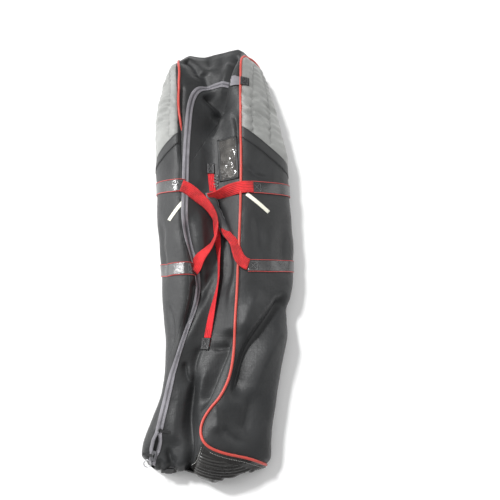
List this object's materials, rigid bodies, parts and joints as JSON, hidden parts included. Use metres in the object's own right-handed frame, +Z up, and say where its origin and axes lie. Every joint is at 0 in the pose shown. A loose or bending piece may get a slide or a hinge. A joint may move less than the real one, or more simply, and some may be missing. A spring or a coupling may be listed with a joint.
{
  "type": "golf travel case",
  "caption": "Soft wheeled golf travel case, empty and lying on its back, with a two-way zip, padded head end, carry handles, grab strap, identity window and moulded foot.",
  "frame": {"origin": "point on the floor under the case, near its middle, where its back panel rests", "axes": "+Z up out of the front, +Y along the case to the padded head end, +X to the side that is on the right when the head end is away from the viewer"},
  "size_m": [0.4298, 1.3062, 0.1614],
  "materials": {
    "case_fabric": "matt charcoal coated polyester",
    "pad_fabric": "light grey woven polyester over foam",
    "piping_red": "salmon-red covered cord",
    "strap_red": "red ribbed webbing",
    "strap_black": "black webbing with a sheen and a fine red edge",
    "padding_black": "black padded wrap",
    "zip_tape": "lilac-grey woven zip tape",
    "zip_coil": "grey nylon coil",
    "zip_metal": "plated zinc",
    "pull_black": "black moulded pull",
    "bar_white": "cream-white stitched bar",
    "window_clear": "clear flexible vinyl",
    "binding_black": "black edge binding",
    "skid_black": "ribbed black moulding",
    "board": "stiff plastic sheet",
    "housing": "black injection moulding",
    "tyre": "dark urethane",
    "hub": "grey nylon",
    "steel": "zinc plated steel"
  },
  "bodies": {
    "case": {"back_panel": "case_fabric", "front_panel": "case_fabric", "head_strip": "case_fabric", "foot_strip": "case_fabric", "left_side_panel": "case_fabric", "right_side_panel": "case_fabric", "left_pad": "pad_fabric", "right_pad": "pad_fabric", "left_seam_band": "case_fabric", "right_seam_band": "case_fabric", "left_piping": "piping_red", "right_piping": "piping_red", "zip_tape_outer": "zip_tape", "zip_tape_inner": "zip_tape", "zip_coil_outer": "zip_coil", "zip_coil_inner": "zip_coil", "zip_end_tab": "binding_black", "tab_snap": "zip_metal", "grab_strap": "strap_red", "grab_patch_upper": "padding_black", "grab_patch_lower": "padding_black", "left_strap_upper": "strap_black", "left_strap_lower": "strap_black", "right_strap_upper": "strap_black", "right_strap_lower": "strap_black", "id_binding": "binding_black", "id_window": "window_clear", "left_bar": "bar_white", "right_bar": "bar_white", "foot_skid": "skid_black", "base_board": "board", "housing_screws": "steel", "left_wheel_housing": "housing", "left_axle": "steel", "right_wheel_housing": "housing", "right_axle": "steel"},
    "corner": {"front_corner": "case_fabric", "zip_tape_corner": "zip_tape", "zip_coil_corner": "zip_coil"},
    "left_carry": {"left_handle": "strap_red"},
    "right_carry": {"right_handle": "strap_red", "handle_wrap": "padding_black"},
    "slider_upper": {"upper_slider": "zip_metal"},
    "pull_upper": {"upper_pull": "pull_black"},
    "slider_lower": {"lower_slider": "zip_metal"},
    "pull_lower": {"lower_pull": "pull_black"},
    "wheel_left": {"left_tyre": "tyre", "left_hub": "hub", "left_bearings": "steel"},
    "wheel_right": {"right_tyre": "tyre", "right_hub": "hub", "right_bearings": "steel"}
  },
  "joints": [
    {"name": "corner_fold", "type": "hinge", "parent": "case", "child": "corner", "pos_m": [-0.096, 0.24, 0.14423], "axis": [0.4364, 0.8997, -0.0032], "range_deg": [0, 120]},
    {"name": "left_handle_swing", "type": "hinge", "parent": "case", "child": "left_carry", "pos_m": [-0.112, 0.178, 0.1501], "axis": [0.0659, -0.997, -0.0399], "range_deg": [0, 165]},
    {"name": "right_handle_swing", "type": "hinge", "parent": "case", "child": "right_carry", "pos_m": [0.092, -0.062, 0.1536], "axis": [0, 0.9998, 0.018], "range_deg": [0, 165]},
    {"name": "upper_slider_travel", "type": "slide", "parent": "case", "child": "slider_upper", "axis": [0.2015, 0.9768, 0.0722], "range_m": [-0.0125, 0.086]},
    {"name": "lower_slider_travel", "type": "slide", "parent": "case", "child": "slider_lower", "axis": [0.2015, 0.9768, 0.0722], "range_m": [0, 0.024]},
    {"name": "upper_pull_flip", "type": "hinge", "parent": "slider_upper", "child": "pull_upper", "pos_m": [-0.15488, -0.51464, 0.09481], "axis": [-0.2015, -0.9768, -0.0722], "range_deg": [0, 170]},
    {"name": "lower_pull_flip", "type": "hinge", "parent": "slider_lower", "child": "pull_lower", "pos_m": [-0.16849, -0.58064, 0.08994], "axis": [0.2015, 0.9768, 0.0722], "range_deg": [0, 164]},
    {"name": "left_wheel_spin", "type": "hinge", "parent": "case", "child": "wheel_left", "pos_m": [-0.132, -0.6, 0.027], "axis": [1, 0, 0], "continuous": true},
    {"name": "right_wheel_spin", "type": "hinge", "parent": "case", "child": "wheel_right", "pos_m": [0.06, -0.6, 0.027], "axis": [1, 0, 0], "continuous": true}
  ]
}
